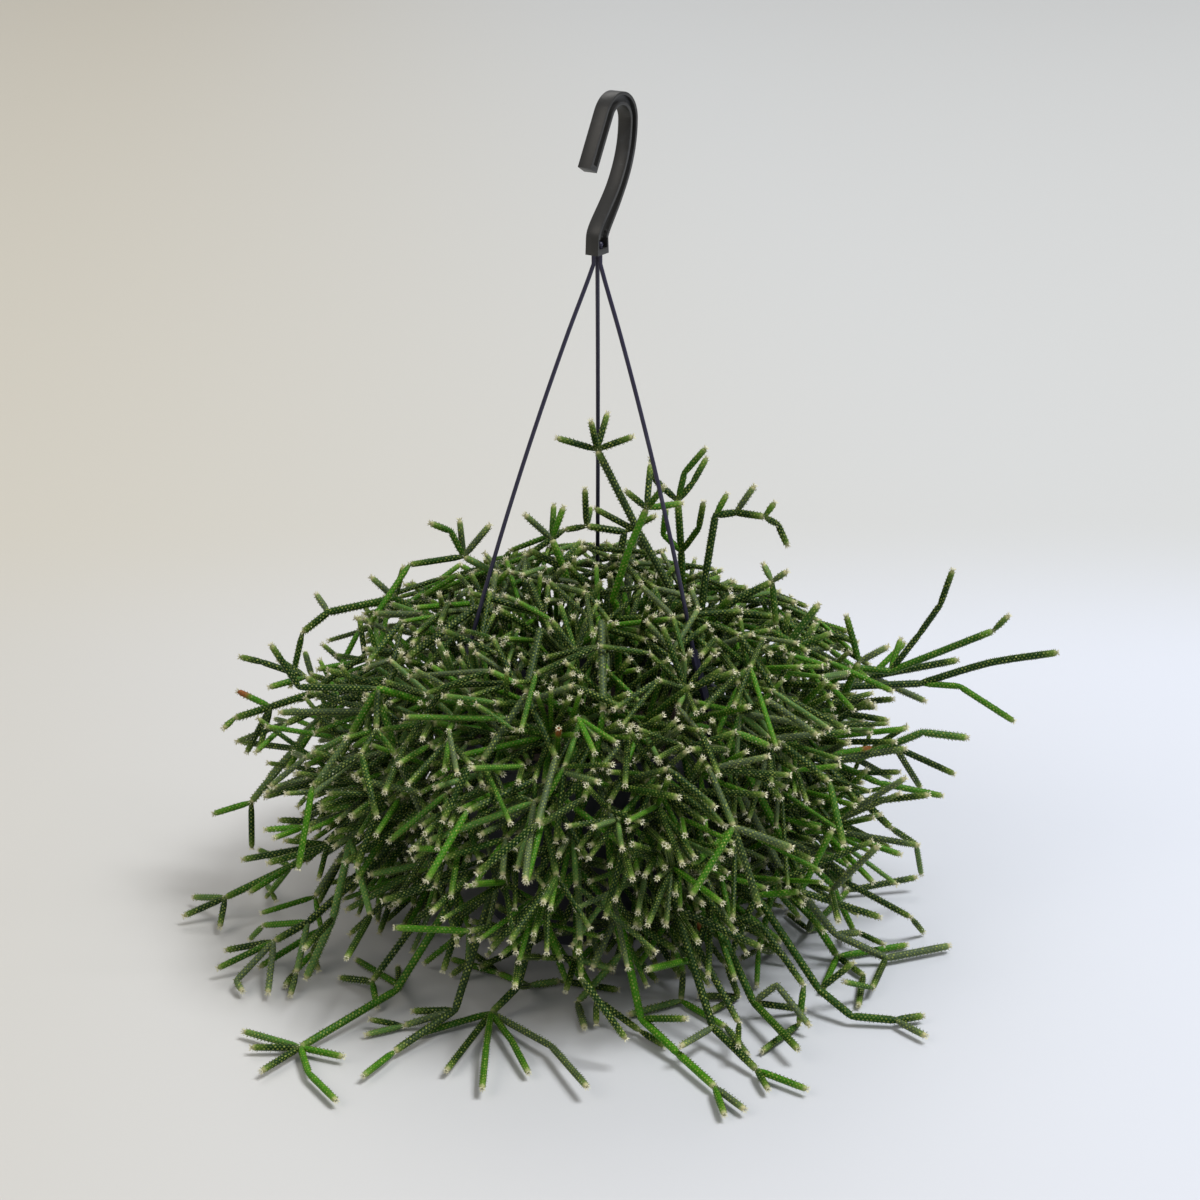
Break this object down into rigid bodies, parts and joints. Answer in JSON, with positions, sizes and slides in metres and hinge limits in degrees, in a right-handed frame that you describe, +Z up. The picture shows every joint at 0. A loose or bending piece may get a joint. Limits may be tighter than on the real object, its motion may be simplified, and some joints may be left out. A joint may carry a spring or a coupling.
{
  "type": "potted trailing cactus",
  "caption": "Bushy trailing cactus with forked bristly stems in a round plastic pot, with a three-rod plastic hanger and a moulded hook.",
  "frame": {"origin": "centre of the pot's flat underside, which stands on the floor", "axes": "+Z up, -Y towards the front of the plant as it is pictured, +X to the right"},
  "size_m": [0.4279, 0.3755, 0.4004],
  "materials": {
    "pot_plastic": "fine matte moulded surface, anthracite",
    "hook_plastic": "matte moulded surface, dark grey-brown",
    "rod_plastic": "smooth drawn plastic, near black with a violet cast",
    "compost": "loose peat and bark crumb",
    "stem": "satin green skin with rows of pale bristle tufts"
  },
  "bodies": {
    "root": {"pot": "pot_plastic", "soil": "compost", "hook": "hook_plastic", "hanger_rod_right": "rod_plastic", "hanger_rod_back": "rod_plastic", "hanger_rod_left": "rod_plastic", "spray_01": "stem", "spray_02": "stem", "spray_03": "stem", "spray_04": "stem", "spray_05": "stem", "spray_06": "stem", "spray_07": "stem", "spray_08": "stem", "spray_09": "stem", "spray_10": "stem", "spray_11": "stem", "spray_12": "stem", "spray_13": "stem", "spray_14": "stem", "spray_15": "stem", "spray_16": "stem", "spray_17": "stem", "spray_18": "stem", "spray_19": "stem", "spray_20": "stem", "spray_21": "stem", "spray_22": "stem", "spray_23": "stem", "spray_24": "stem", "spray_25": "stem", "spray_26": "stem", "spray_27": "stem", "spray_28": "stem", "spray_29": "stem", "spray_30": "stem", "spray_31": "stem", "spray_32": "stem", "spray_33": "stem", "spray_34": "stem", "spray_35": "stem", "spray_36": "stem", "spray_37": "stem", "spray_38": "stem", "spray_39": "stem", "spray_40": "stem", "spray_41": "stem", "spray_42": "stem", "spray_43": "stem", "spray_44": "stem", "spray_45": "stem", "spray_46": "stem", "spray_47": "stem", "spray_48": "stem"}
  },
  "joints": []
}
